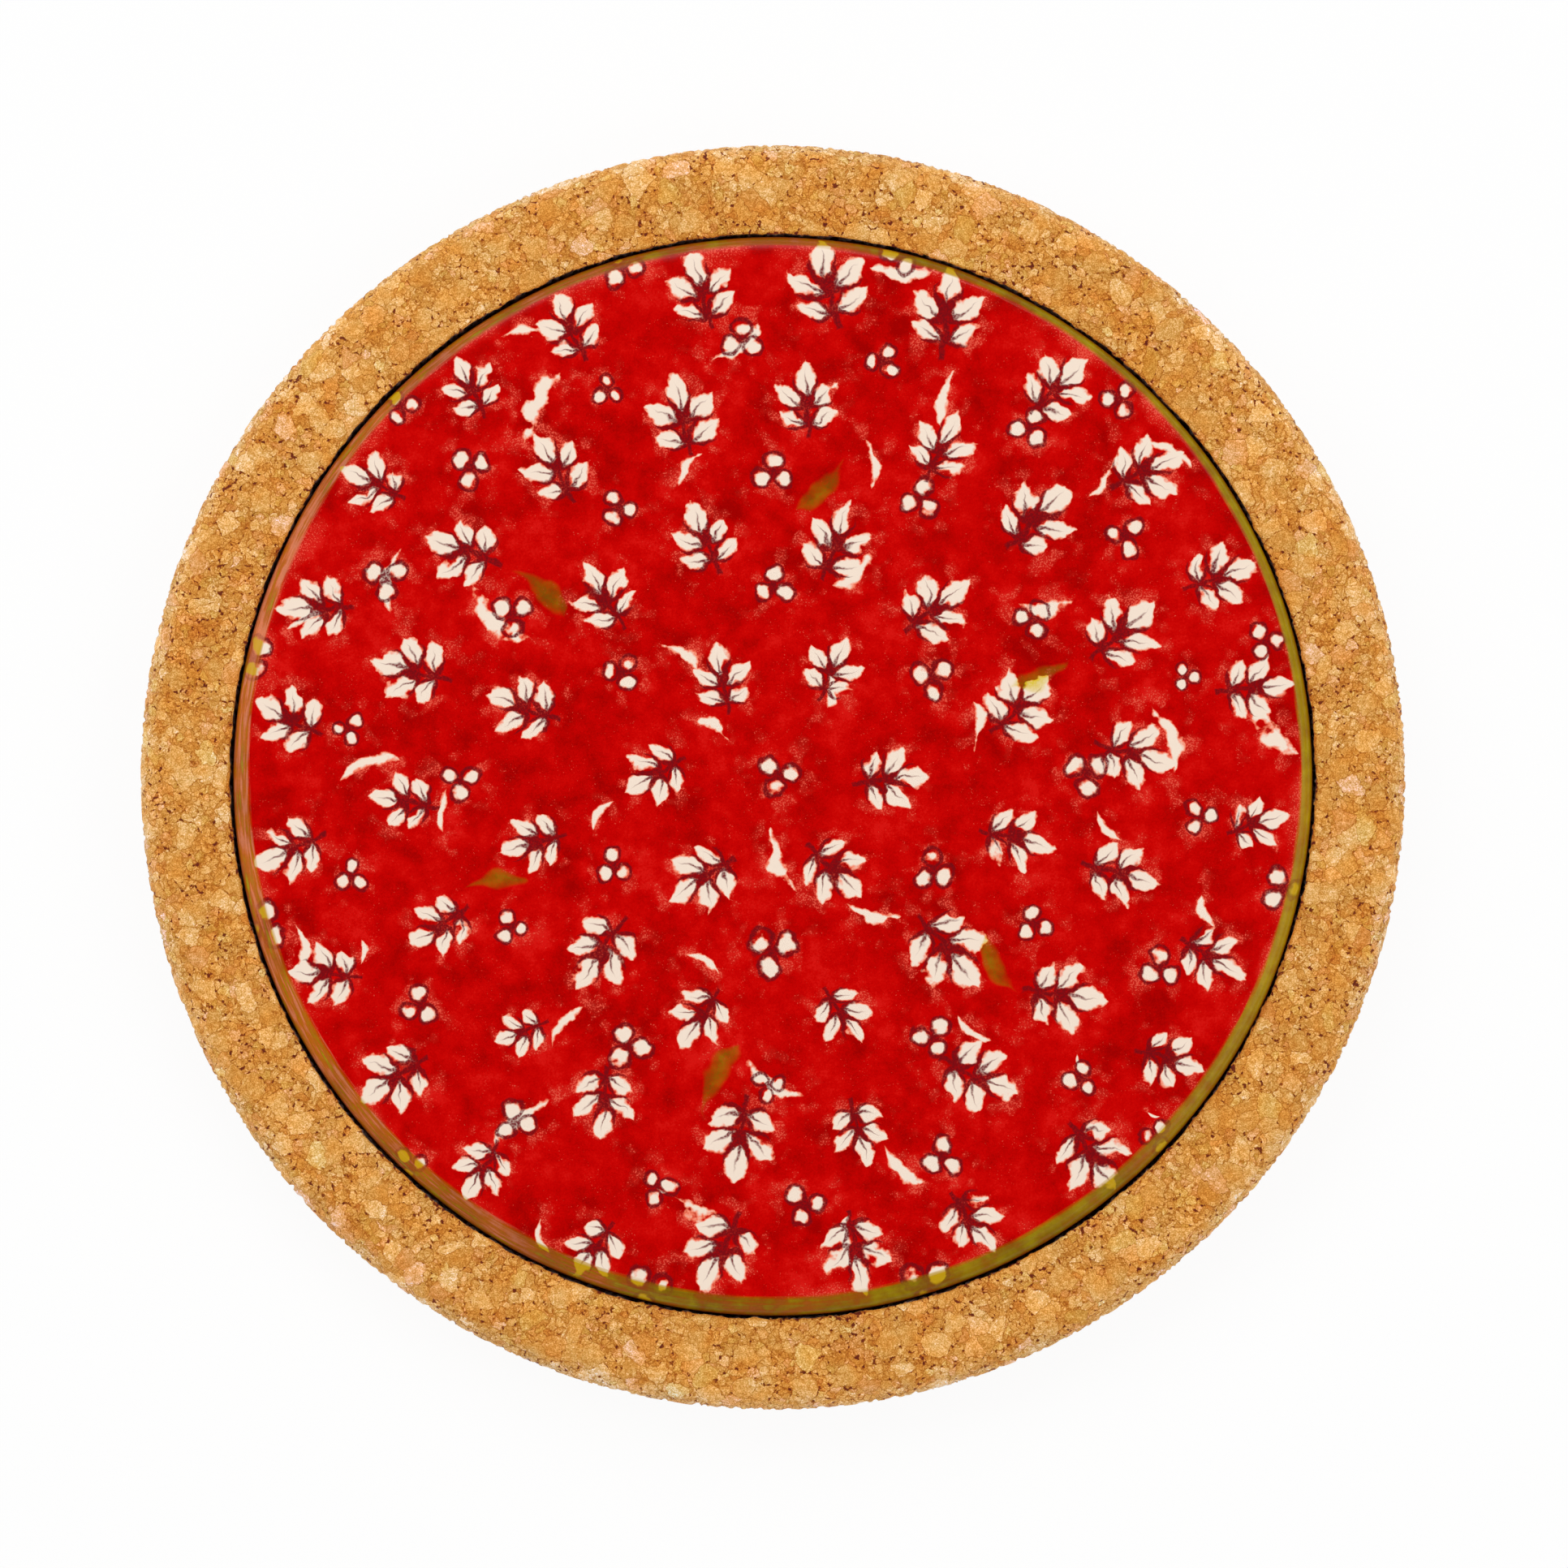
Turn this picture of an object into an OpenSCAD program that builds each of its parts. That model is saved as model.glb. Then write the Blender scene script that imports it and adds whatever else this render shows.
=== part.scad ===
// Round trivet: a glazed earthenware tile bonded into a pocket in a cork base.
// Millimetres, +Z up, origin at the middle of the foot. Every piece is turned about Z.

/* [Ceramic tile] */
// Diameter of the tile at its widest
tile_d = 178.5; // [120:0.5:260]
// Thickness of the tile
tile_t = 8; // [6:0.5:14]
// Radius of the rounded shoulder round the tile's top
shoulder_r = 2; // [0.5:0.25:4]
// Chamfer round the tile's back
back_chamfer = 1; // [0.25:0.25:1.5]
// How far the tile stands above the cork, so that a pot rests on the tile alone
tile_proud = 1; // [0.25:0.25:3]

/* [Cork base] */
// Width of the flat ring and its rounded edge, from the pocket to the outside
ring_w = 15.1; // [8:0.05:30]
// Thickness of the cork under the tile
floor_t = 10; // [5:0.5:20]
// Radius of the upper outer edge
top_edge_r = 5; // [1:0.5:6]
// Radius of the lower outer edge
foot_edge_r = 4; // [1:0.5:5]
// Radius of the worn arris round the pocket's mouth
mouth_r = 0.4; // [0.1:0.1:1]

/* [Seat of the tile] */
// Gap all round between the tile and the pocket's wall
tile_gap = 0.65; // [0.2:0.05:2]
// Thickness of the adhesive between the pocket's floor and the tile
bond_t = 1; // [0.5:0.25:2]
// Diameter of a dab of adhesive, as it is pressed out
dab_d = 22; // [8:1:28]
// Number of dabs in the ring round the middle one
dab_count = 6; // [3:1:8]

/* [Hidden] */
$fn = 240;

// How far a cut runs past the surface that it removes
overrun = 0.5;
// Diameter of the ring of dabs, as a share of the tile's diameter
dab_ring_share = 0.62;

tile_r = tile_d / 2;
pocket_r = tile_r + tile_gap;
cork_r = pocket_r + ring_w;
tile_z = floor_t + bond_t;
cork_h = tile_z + tile_t - tile_proud;
dab_ring_r = tile_r * dab_ring_share;

// What is left of a square corner outside an arc of radius r, centred on the origin
module corner_waste(r) {
    difference() {
        square(r + overrun);
        circle(r = r);
    }
}

// Half section of the cork: a block less the pocket, the two edges and the arris
module cork_section() {
    difference() {
        square([cork_r, cork_h]);
        translate([0, floor_t])
            square([pocket_r, cork_h - floor_t + overrun]);
        translate([cork_r - top_edge_r, cork_h - top_edge_r])
            corner_waste(top_edge_r);
        translate([cork_r - foot_edge_r, foot_edge_r])
            mirror([0, 1])
                corner_waste(foot_edge_r);
        translate([pocket_r + mouth_r, cork_h - mouth_r])
            mirror([1, 0])
                corner_waste(mouth_r);
    }
}

// Half section of the tile: its shoulder is an arc, and its back edge a chamfer
module tile_section() {
    difference() {
        square([tile_r, tile_t]);
        translate([tile_r - shoulder_r, tile_t - shoulder_r])
            corner_waste(shoulder_r);
        polygon([
            [tile_r - back_chamfer - overrun, -overrun],
            [tile_r + overrun, -overrun],
            [tile_r + overrun, back_chamfer + overrun]
        ]);
    }
}

// One dab, pressed out between two flat faces until its side bulges
module dab() {
    core_r = (dab_d - bond_t) / 2;
    rotate_extrude() {
        square([core_r, bond_t]);
        intersection() {
            translate([core_r, bond_t / 2])
                circle(d = bond_t);
            translate([core_r, 0])
                square(bond_t);
        }
    }
}

module cork_base() {
    color("#d4944a")
        rotate_extrude()
            cork_section();
}

module ceramic_tile() {
    color("#c72923")
        translate([0, 0, tile_z])
            rotate_extrude()
                tile_section();
}

module tile_adhesive() {
    color("#d9d2c0")
        translate([0, 0, floor_t]) {
            dab();
            for (i = [0 : dab_count - 1])
                rotate([0, 0, i * 360 / dab_count])
                    translate([dab_ring_r, 0, 0])
                        dab();
        }
}

cork_base();
ceramic_tile();
tile_adhesive();
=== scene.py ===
# Round trivet: an earthenware tile, sponged and stamped under a clear glaze, bonded into a base of
# agglomerated cork. Sizes are in millimetres and turns in degrees, unless a comment says otherwise.
# Blender's own unit is the metre.
import functools
import math

import bpy
import numpy as np
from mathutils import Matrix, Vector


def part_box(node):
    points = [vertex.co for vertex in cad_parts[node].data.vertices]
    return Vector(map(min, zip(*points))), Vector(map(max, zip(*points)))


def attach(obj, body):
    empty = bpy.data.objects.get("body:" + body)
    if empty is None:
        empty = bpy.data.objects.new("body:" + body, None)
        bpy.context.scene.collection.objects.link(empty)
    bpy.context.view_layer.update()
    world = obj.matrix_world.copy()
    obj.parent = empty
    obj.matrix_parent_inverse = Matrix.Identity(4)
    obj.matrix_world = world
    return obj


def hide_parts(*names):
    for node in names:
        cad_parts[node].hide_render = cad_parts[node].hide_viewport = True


mm = 0.001
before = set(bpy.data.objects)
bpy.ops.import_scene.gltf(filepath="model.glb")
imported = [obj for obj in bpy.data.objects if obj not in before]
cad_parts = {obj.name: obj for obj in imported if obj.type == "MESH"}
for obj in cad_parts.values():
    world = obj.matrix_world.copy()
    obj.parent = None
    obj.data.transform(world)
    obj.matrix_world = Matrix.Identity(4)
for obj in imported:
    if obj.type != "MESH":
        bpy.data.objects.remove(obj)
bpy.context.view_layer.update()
corkRadius, _, corkTop = (np.array(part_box("cork_base")[1]) / mm).tolist()
tileRadius, _, tileTop = (np.array(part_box("ceramic_tile")[1]) / mm).tolist()
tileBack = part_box("ceramic_tile")[0][2] / mm
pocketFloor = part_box("tile_adhesive")[0][2] / mm
print("frame loaded: cork radius %.2f, height %.2f, tile radius %.2f" % (corkRadius, corkTop, tileRadius))


# Shapes: every piece is a set of rings round an upright axis

def alongLine(start, end, step):
    # start + (end - start) t, for t from 0 up to but without 1, in steps no longer than step
    t = np.arange(math.ceil(math.dist(start, end) / step))[:, None]
    return np.array(start) + (np.array(end) - np.array(start)) * t / len(t)


def alongArc(centre, radius, turns, step):
    # centre + radius (cos a, sin a), for a from the first turn up to but without the last
    count = math.ceil(radius * math.radians(abs(turns[1] - turns[0])) / step)
    a = np.radians(turns[0] + (turns[1] - turns[0]) * np.arange(count) / count)
    return np.array(centre) + radius * np.stack([np.cos(a), np.sin(a)], 1)


def ringCounts(radii, outerCount, outerRadius):
    # points in each ring: outerCount, halved each time that the radius halves, and 1 on the axis
    halvings = np.floor(np.log2(outerRadius / np.maximum(radii, 1e-9)))
    counts = outerCount // 2 ** np.clip(halvings, 0, math.log2(outerCount & -outerCount)).astype(int)
    return np.where(radii < 1e-6, 1, counts)


def joinRings(first, firstCount, second, secondCount):
    # faces between two rings whose first points are first and second: quads where the counts are equal, a
    # fan at a pole, and three triangles for each point of a ring that has half as many
    counts = (firstCount, secondCount)
    k = np.arange(max(counts) if 1 in counts else min(counts))
    a, b = first + k % firstCount, first + (k + 1) % firstCount
    c, d = second + (k + 1) % secondCount, second + k % secondCount
    if firstCount == secondCount:
        return [np.stack([a, b, c, d], 1)]
    if secondCount == 1:
        return [np.stack([a, b, d], 1)]
    if firstCount == 1:
        return [np.stack([a, c, d], 1)]
    if firstCount == 2 * secondCount:
        f0, f1, f2 = first + 2 * k, first + 2 * k + 1, first + (2 * k + 2) % firstCount
        return [np.stack(t, 1) for t in ((f0, f1, d), (f1, c, d), (f1, f2, c))]
    f0, f1, f2 = second + 2 * k, second + 2 * k + 1, second + (2 * k + 2) % secondCount
    return [np.stack(t, 1) for t in ((a, f1, f0), (a, b, f1), (b, f2, f1))]


def turnedMesh(name, rings, shape):
    # rings is a list of (radius, height, number of points). A point at turn a is (r cos a, r sin a, z), and
    # shape moves the whole array of points before it becomes the mesh
    points, faces, start = [], [], 0
    for index, (radius, height, count) in enumerate(rings):
        a = 2 * np.pi * np.arange(count) / count
        points.append(np.stack([radius * np.cos(a), radius * np.sin(a), np.full(count, float(height))], 1))
        if index + 1 < len(rings):
            faces += joinRings(start, int(count), start + int(count), int(rings[index + 1][2]))
        start += int(count)
    placed = shape(np.concatenate(points)) * mm
    mesh = bpy.data.meshes.new(name)
    mesh.from_pydata(placed.tolist(), [], [face for part in faces for face in part.tolist()])
    mesh.polygons.foreach_set("use_smooth", np.ones(len(mesh.polygons), bool))
    mesh.update()
    return mesh


def addPiece(name, mesh, material, node):
    # a new piece that stands for a node of the frame: it takes the material given, hangs from the root body,
    # and the node is hidden
    piece = bpy.data.objects.new(name, mesh)
    bpy.context.scene.collection.objects.link(piece)
    mesh.materials.append(material)
    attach(piece, "root")
    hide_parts(node)
    return piece


# Nodes: settings that many of them share, one function that turns a written colour into Blender's linear
# one, and one that adds any node

times, plus, minus = ({"operation": name} for name in ("MULTIPLY", "ADD", "SUBTRACT"))
timesPlus, highest, lowest = ({"operation": name} for name in ("MULTIPLY_ADD", "MAXIMUM", "MINIMUM"))
absolute, scaled, lengthOf = ({"operation": name} for name in ("ABSOLUTE", "SCALE", "LENGTH"))
distanceTo, greater, less = ({"operation": name} for name in ("DISTANCE", "GREATER_THAN", "LESS_THAN"))
smooth = {"interpolation_type": "SMOOTHSTEP"}
vectorMix, colourMix = {"data_type": "VECTOR"}, {"data_type": "RGBA"}
level = (1.0, 1.0, 0.0)  # a place times this lies in the plane of the foot
same = (1.0, 1.0, 1.0)  # a colour times this stays as it is
half = (0.5, 0.5, 0.5)  # the middle of a noise's colours
noiseSpan = (0.3, 0.7)  # where most of a noise's values lie


def rgb(hexColour):
    # sRGB to linear: c / 12.92 below 0.04045, and ((c + 0.055) / 1.055) ^ 2.4 above
    c = np.array([int(hexColour[i:i + 2], 16) / 255 for i in (1, 3, 5)])
    return (*np.where(c <= 0.04045, c / 12.92, ((c + 0.055) / 1.055) ** 2.4).tolist(), 1.0)


def addNode(tree, kind, settings, inputs):
    # the setting stops fills a colour ramp with pairs of place and written colour. An input is a value, a
    # socket, or a node, which stands for its first output in use. From and To give both ends of a range
    made = tree.nodes.new(kind if "Node" in kind else "ShaderNode" + kind)
    for name, value in settings.items():
        if name != "stops":
            setattr(made, name, value)
            continue
        for place, colour in value[2:]:
            made.color_ramp.elements.new(place)
        for element, (place, colour) in zip(made.color_ramp.elements, value):
            element.position, element.color = place, rgb(colour)
    for name, value in inputs.items():
        if name in ("From", "To"):
            made.inputs[name + " Min"].default_value, made.inputs[name + " Max"].default_value = value
            continue
        target = made.inputs[name] if isinstance(name, int) else next(
            s for s in made.inputs if s.enabled and s.name == name)
        if isinstance(value, bpy.types.Node):
            value = next(s for s in value.outputs if s.enabled)
        if isinstance(value, bpy.types.NodeSocket):
            tree.links.new(value, target)
        else:
            target.default_value = value
    return made


def newMaterial(name):
    # an empty material, and addNode for its tree
    material = bpy.data.materials.new(name)
    material.use_nodes = True
    material.node_tree.nodes.clear()
    return material, functools.partial(addNode, material.node_tree)


# Cork base

cork = {
    "topEdge": 5.0, "footEdge": 4.0, "mouth": 0.25,  # radii of the outer edges and of the pocket's arris
    "gap": 0.22,  # between the tile and the pocket's wall; the relief opens it by about as much again
    # waves of that wall: count round it, depth and phase. They die out waveReach outside it
    "waves": [(1, 0.06, 170), (2, 0.04, 140), (4, 0.06, -140), (6, 0.04, -30), (8, 0.03, 97),
              (34, 0.03, 45), (61, 0.05, 10), (97, 0.04, 80), (151, 0.03, 30)],
    "waveReach": 3.0,
    # points round each ring, halved in so many rings of the hidden floor, and steps from ring to ring
    "points": 1280, "halvings": 5,
    "step": 0.56, "sideStep": 0.9, "footStep": 2.4, "wallStep": 3.0, "hiddenStep": 8.0,
    "whole": 3.1, "crushed": 1.5, "crushedShare": 0.68,  # pitch of the granules, and how many are crushed
    "wander": 0.7, "wanderPitch": 1.2,  # how far the faces between granules stray, and how often
    # relief: a crease at each face, a step from granule to granule, sanding marks on upright and on level
    # faces, and granules lost from the pocket's arris
    "crease": 0.04, "creaseWidth": 0.5, "rise": 0.05,
    "rough": (0.8, 0.15), "roughPitch": 0.6, "roughFrom": (0.45, 0.72), "roughUpright": 0.2,
    "chip": 0.2, "chipFrom": (0.4, 0.9), "chipShare": 0.5,
    # tone: the darkest and lightest granules, the whole ones, and four noises in pitch and swing
    "spread": (0.76, 1.05), "wholeTone": 1.03,
    "grain": (0.45, 0.14), "mottle": (0.9, 0.12), "speckle": (0.22, 0.3), "drift": (9.0, 0.06),
    "grainTurn": 6.28, "grainStretch": 0.25,
    # marks, fewer on whole granules: broken lines along the faces, and voids where granules meet
    "markPitch": 0.9, "wholeBroken": 0.4,
    "lineFrom": (0.48, 0.8), "lineWidth": 0.26, "lineSoft": (-0.12, 0.12), "lineTone": 0.66,
    "voidFrom": (0.73, 0.93), "voidWidth": 0.5, "voidSoft": (-0.08, 0.12), "voidTone": 0.24,
    "cluster": (5.0, 0.25), "mouthVoids": (0.2, 1.2, 0.08),
    # painted shade in the gap: the pocket's wall is darkened below its arris, and the cork round its mouth a
    # little
    "wallShadeFrom": (1.4, 0.6), "wallShadeTone": 0.62, "mouthShadeReach": 0.8, "mouthShadeTone": 0.64,
    # colour: the lightest tone, and the powers of a tone in red, green and blue, because dark cork is redder
    "colour": "#e9af5e", "deepen": (0.9, 1.76, 4.2),
    "warm": (1.03, 0.92, 0.72), "cool": (0.98, 1.05, 1.28), "huePitch": 4.5, "hueFrom": (0.35, 0.65),
    # a few granules are greenish, pink or rusty: the range of their second number, and the tint
    "tints": [((0.0, 0.08), (0.98, 1.05, 0.95)), ((0.3, 0.4), (1.02, 0.96, 1.2)),
              ((0.6, 0.7), (1.0, 0.9, 0.8))],
    # painted sheen: the outer rounded edge is paler, standing in for the whitish light it catches at a
    # glancing angle: distances from it, and heights
    "worn": (1.13, 1.33, 2.0), "wornFrom": (3.6, 0.6), "wornHeight": (9.0, 13.0), "wornBelow": 0.3,
    "creaseBump": 0.04, "lineBump": -0.03, "grainBump": 0.1, "voidBump": -0.02,
}
wallRadius = tileRadius + cork["gap"]


def addGranules(tree, place):
    # place strays by noise, and the Voronoi cells of the strayed place are the granules. A whole granule
    # whose third number is under crushedShare shows the finer field in its place. Gives the granule's
    # numbers, the distance to its nearest face, and 1 where it is crushed
    add = functools.partial(addNode, tree)
    noise = add("TexNoise", {}, {"Vector": place, "Scale": 1 / cork["wanderPitch"], "Detail": 2.0})
    stray = add("VectorMath", minus, {0: noise.outputs["Color"], 1: half})
    strayed = add("VectorMath", timesPlus, {0: stray, 1: (2 * cork["wander"],) * 3, 2: place})
    cells, faces = [], []
    for pitch in (cork["whole"], cork["crushed"]):
        cell = add("TexVoronoi", {}, {"Vector": strayed, "Scale": 1 / pitch})
        face = add("TexVoronoi", {"feature": "DISTANCE_TO_EDGE"}, {"Vector": strayed, "Scale": 1 / pitch})
        cells.append(cell.outputs["Color"])
        faces.append(add("Math", times, {0: face, 1: pitch}))
    whole = add("SeparateXYZ", {}, {"Vector": cells[0]})
    isCrushed = add("Math", less, {0: whole.outputs["Z"], 1: cork["crushedShare"]})
    numbers = add("Mix", vectorMix, {"Factor": isCrushed, "A": cells[0], "B": cells[1]})
    nearest = add("Math", lowest, {0: faces[0], 1: faces[1]})
    distance = add("Mix", {}, {"Factor": isCrushed, "A": faces[0], "B": nearest})
    return numbers, distance, isCrushed


def corkRings():
    # from the middle of the foot out, up the side, over the ring, down the pocket's wall and in over its
    # floor
    top, foot, mouth = cork["topEdge"], cork["footEdge"], cork["mouth"]
    step, side, count = cork["step"], cork["sideStep"], cork["points"]
    under = alongLine((0, 0), (corkRadius - foot, 0), cork["footStep"])
    outside = np.concatenate([
        alongArc((corkRadius - foot, foot), foot, (-90, 0), side),
        alongLine((corkRadius, foot), (corkRadius, corkTop - top), side),
        alongArc((corkRadius - top, corkTop - top), top, (0, 90), step),
        alongLine((corkRadius - top, corkTop), (wallRadius + mouth, corkTop), step),
        alongArc((wallRadius + mouth, corkTop - mouth), mouth, (90, 180), mouth / 2),
        alongLine((wallRadius, corkTop - mouth), (wallRadius, pocketFloor), cork["wallStep"])])
    inside = alongLine((wallRadius, pocketFloor), (0, pocketFloor), cork["hiddenStep"])
    underCounts = ringCounts(under[:, 0], count // 2, corkRadius - foot)
    insideCounts = count // 2 ** np.minimum(np.arange(len(inside)), cork["halvings"])
    return [(*p, n) for p, n in zip(under, underCounts)] + [(*p, count) for p in outside] + \
        [(*p, n) for p, n in zip(inside, insideCounts)] + [(0.0, pocketFloor, 1)]


def wavePocket(points):
    # the pocket's wall moves out by the sum of depth cos(count a + phase), which dies out over waveReach
    x, y, z = points.T
    a = np.arctan2(y, x)
    waves = sum(depth * np.cos(count * a + math.radians(phase)) for count, depth, phase in cork["waves"])
    reach = np.clip((wallRadius - np.hypot(x, y)) / cork["waveReach"] + 1, 0, 1)
    grown = 1 + waves * reach / wallRadius
    return np.stack([x * grown, y * grown, z], 1)


def addReliefModifier(piece):
    # each point sinks along its normal by crease (1 - smoothstep(distance to the face)) + rise (first
    # number) + rough (noise), and by chip near the pocket's arris where the second number is high. The
    # place before that is kept for the material
    tree = bpy.data.node_groups.new("cork_relief", "GeometryNodeTree")
    tree.interface.new_socket("Geometry", in_out="INPUT", socket_type="NodeSocketGeometry")
    tree.interface.new_socket("Geometry", in_out="OUTPUT", socket_type="NodeSocketGeometry")
    add = functools.partial(addNode, tree)
    source = add("NodeGroupInput", {}, {})
    position = add("GeometryNodeInputPosition", {}, {})
    kept = add("GeometryNodeStoreNamedAttribute", {"data_type": "FLOAT_VECTOR"},
               {"Geometry": source, "Name": "restPlace", "Value": position})
    place = add("VectorMath", scaled, {"Vector": position, "Scale": 1 / mm})
    numbers, distance = addGranules(tree, place)[:2]
    number = add("SeparateXYZ", {}, {"Vector": numbers})
    crease = add("MapRange", smooth, {
        "Value": distance, "From": (0.0, cork["creaseWidth"]), "To": (cork["crease"], 0.0)})
    sunk = add("Math", timesPlus, {0: number.outputs["X"], 1: cork["rise"], 2: crease})
    sawn = add("VectorMath", times, {0: place, 1: (1.0, 1.0, cork["roughUpright"])})
    sanding = add("TexNoise", {}, {"Vector": sawn, "Scale": 1 / cork["roughPitch"], "Detail": 1.0})
    sanding = add("MapRange", {}, {"Value": sanding, "From": cork["roughFrom"]})
    normal = add("GeometryNodeInputNormal", {}, {})
    levelness = add("Math", absolute, {0: add("SeparateXYZ", {}, {"Vector": normal}).outputs["Z"]})
    rough = add("MapRange", {}, {"Value": levelness, "To": cork["rough"]})
    sunk = add("Math", timesPlus, {0: sanding, 1: rough, 2: sunk})
    radius = add("VectorMath", lengthOf, {0: add("VectorMath", times, {0: place, 1: level})})
    fromMouth = add("Math", minus, {0: radius, 1: wallRadius})
    nearMouth = add("MapRange", smooth, {"Value": fromMouth, "From": cork["chipFrom"], "To": (1.0, 0.0)})
    isChipped = add("Math", greater, {0: number.outputs["Y"], 1: 1 - cork["chipShare"]})
    chipped = add("Math", times, {0: isChipped, 1: nearMouth})
    sunk = add("Math", timesPlus, {0: chipped, 1: cork["chip"], 2: sunk})
    inward = add("Math", times, {0: sunk, 1: -mm})
    offset = add("VectorMath", scaled, {"Vector": normal, "Scale": inward})
    moved = add("GeometryNodeSetPosition", {}, {"Geometry": kept, "Offset": offset})
    add("NodeGroupOutput", {}, {"Geometry": moved})
    piece.modifiers.new("relief", "NODES").node_group = tree


def corkMaterial():
    # Agglomerated cork: bark ground to granules, pressed with a binder, sawn and sanded. To the eye it is
    # matt, with honey-coloured granules of many tones, thin dark creases between some of them, and small
    # dark pits
    material, add = newMaterial("agglomeratedCorkSanded")
    attribute = add("Attribute", {"attribute_name": "restPlace"}, {})
    place = add("VectorMath", scaled, {"Vector": attribute.outputs["Vector"], "Scale": 1 / mm})
    height = add("SeparateXYZ", {}, {"Vector": place}).outputs["Z"]
    radius = add("VectorMath", lengthOf, {0: add("VectorMath", times, {0: place, 1: level})})
    numbers, distance, isCrushed = addGranules(material.node_tree, place)
    number = add("SeparateXYZ", {}, {"Vector": numbers})
    tone = add("MapRange", {}, {"Value": number.outputs["X"], "To": cork["spread"]})
    clean = add("MapRange", {}, {"Value": isCrushed, "To": (cork["wholeTone"], 1.0)})
    tone = add("Math", times, {0: tone, 1: clean})
    broken = add("MapRange", {}, {"Value": isCrushed, "To": (cork["wholeBroken"], 1.0)})

    # bark grain: noise stretched along a direction that each granule has of its own. Then three finer and
    # coarser noises
    spin = add("VectorMath", scaled, {"Vector": numbers, "Scale": cork["grainTurn"]})
    turned = add("VectorRotate", {"rotation_type": "EULER_XYZ"}, {"Vector": place, "Rotation": spin})
    stretched = add("VectorMath", times, {0: turned, 1: (1.0, 1.0, cork["grainStretch"])})
    for name, vector in (("grain", stretched), ("mottle", place), ("speckle", place), ("drift", place)):
        pitch, swing = cork[name]
        noise = add("TexNoise", {}, {"Vector": vector, "Scale": 1 / pitch, "Detail": 2.0, "Roughness": 0.6})
        part = add("MapRange", {}, {"Value": noise, "From": noiseSpan, "To": (1 - swing, 1 + swing)})
        tone = add("Math", times, {0: tone, 1: part})
    grain = tone

    # lines: thin and brown, along part of the faces
    patch = add("TexNoise", {}, {"Vector": place, "Scale": 1 / cork["markPitch"], "Detail": 1.0})
    width = add("MapRange", {}, {"Value": patch, "From": cork["lineFrom"], "To": (0.0, cork["lineWidth"])})
    width = add("Math", times, {0: width, 1: broken})
    inside = add("Math", minus, {0: width, 1: distance})
    line = add("MapRange", smooth, {"Value": inside, "From": cork["lineSoft"]})

    # voids: dark gaps where the granules met badly, in clusters, and more of them at the pocket's mouth
    patch = add("TexNoise", {}, {"Vector": place, "Scale": 1 / cork["markPitch"], "Detail": 2.0})
    pitch, share = cork["cluster"]
    cluster = add("TexNoise", {}, {"Vector": place, "Scale": 1 / pitch, "Detail": 1.0})
    patch = add("Math", timesPlus, {0: cluster, 1: share, 2: patch})
    near, far, more = cork["mouthVoids"]
    atMouth = add("MapRange", {}, {
        "Value": radius, "From": (wallRadius + near, wallRadius + far), "To": (more, 0.0)})
    patch = add("Math", plus, {0: patch, 1: atMouth})
    width = add("MapRange", {}, {"Value": patch, "From": cork["voidFrom"], "To": (0.0, cork["voidWidth"])})
    width = add("Math", times, {0: width, 1: broken})
    inside = add("Math", minus, {0: width, 1: distance})
    void = add("MapRange", smooth, {"Value": inside, "From": cork["voidSoft"]})

    # painted shade in the gap: the pocket's wall darkens below its arris, and the cork next to its mouth
    # darkens towards it
    below, above = cork["wallShadeFrom"]
    wallShade = add("MapRange", {}, {
        "Value": height, "From": (corkTop - below, corkTop - above), "To": (1.0, 0.0)})
    inPocket = add("Math", less, {0: radius, 1: tileRadius + cork["waveReach"]})
    wallShade = add("Math", times, {0: wallShade, 1: inPocket})
    mouth = add("MapRange", smooth, {
        "Value": radius, "From": (wallRadius, wallRadius + cork["mouthShadeReach"]), "To": (1.0, 0.0)})
    for part, name in ((line, "lineTone"), (void, "voidTone"), (wallShade, "wallShadeTone"), (mouth, "mouthShadeTone")):
        share = add("MapRange", {}, {"Value": part, "To": (1.0, cork[name])})
        tone = add("Math", times, {0: tone, 1: share})

    deepened = add("CombineXYZ", {}, {
        axis: add("Math", {"operation": "POWER"}, {0: tone, 1: power})
        for axis, power in zip("XYZ", cork["deepen"])})
    colour = add("VectorMath", times, {0: deepened, 1: rgb(cork["colour"])[:3]})
    drift = add("TexNoise", {}, {"Vector": place, "Scale": 1 / cork["huePitch"], "Detail": 2.0})
    drift = add("MapRange", {}, {"Value": drift, "From": cork["hueFrom"]})
    hue = add("Mix", vectorMix, {"Factor": drift, "A": cork["warm"], "B": cork["cool"]})
    colour = add("VectorMath", times, {0: colour, 1: hue})
    for (low, high), tint in cork["tints"]:
        isTinted = add("Math", {"operation": "COMPARE"}, {
            0: number.outputs["Y"], 1: (low + high) / 2, 2: (high - low) / 2})
        factor = add("Mix", vectorMix, {"Factor": isTinted, "A": same, "B": tint})
        colour = add("VectorMath", times, {0: colour, 1: factor})

    # painted sheen: the outer rounded edge is made paler in colour, most of all on its upper half
    inner, outer = cork["wornFrom"]
    outwards = add("MapRange", smooth, {"Value": radius, "From": (corkRadius - inner, corkRadius - outer)})
    upwards = add("MapRange", smooth, {
        "Value": height, "From": cork["wornHeight"], "To": (cork["wornBelow"], 1.0)})
    worn = add("Math", times, {0: outwards, 1: upwards})
    sheenTint = add("Mix", vectorMix, {"Factor": worn, "A": same, "B": cork["worn"]})
    colour = add("VectorMath", times, {0: colour, 1: sheenTint})

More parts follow.
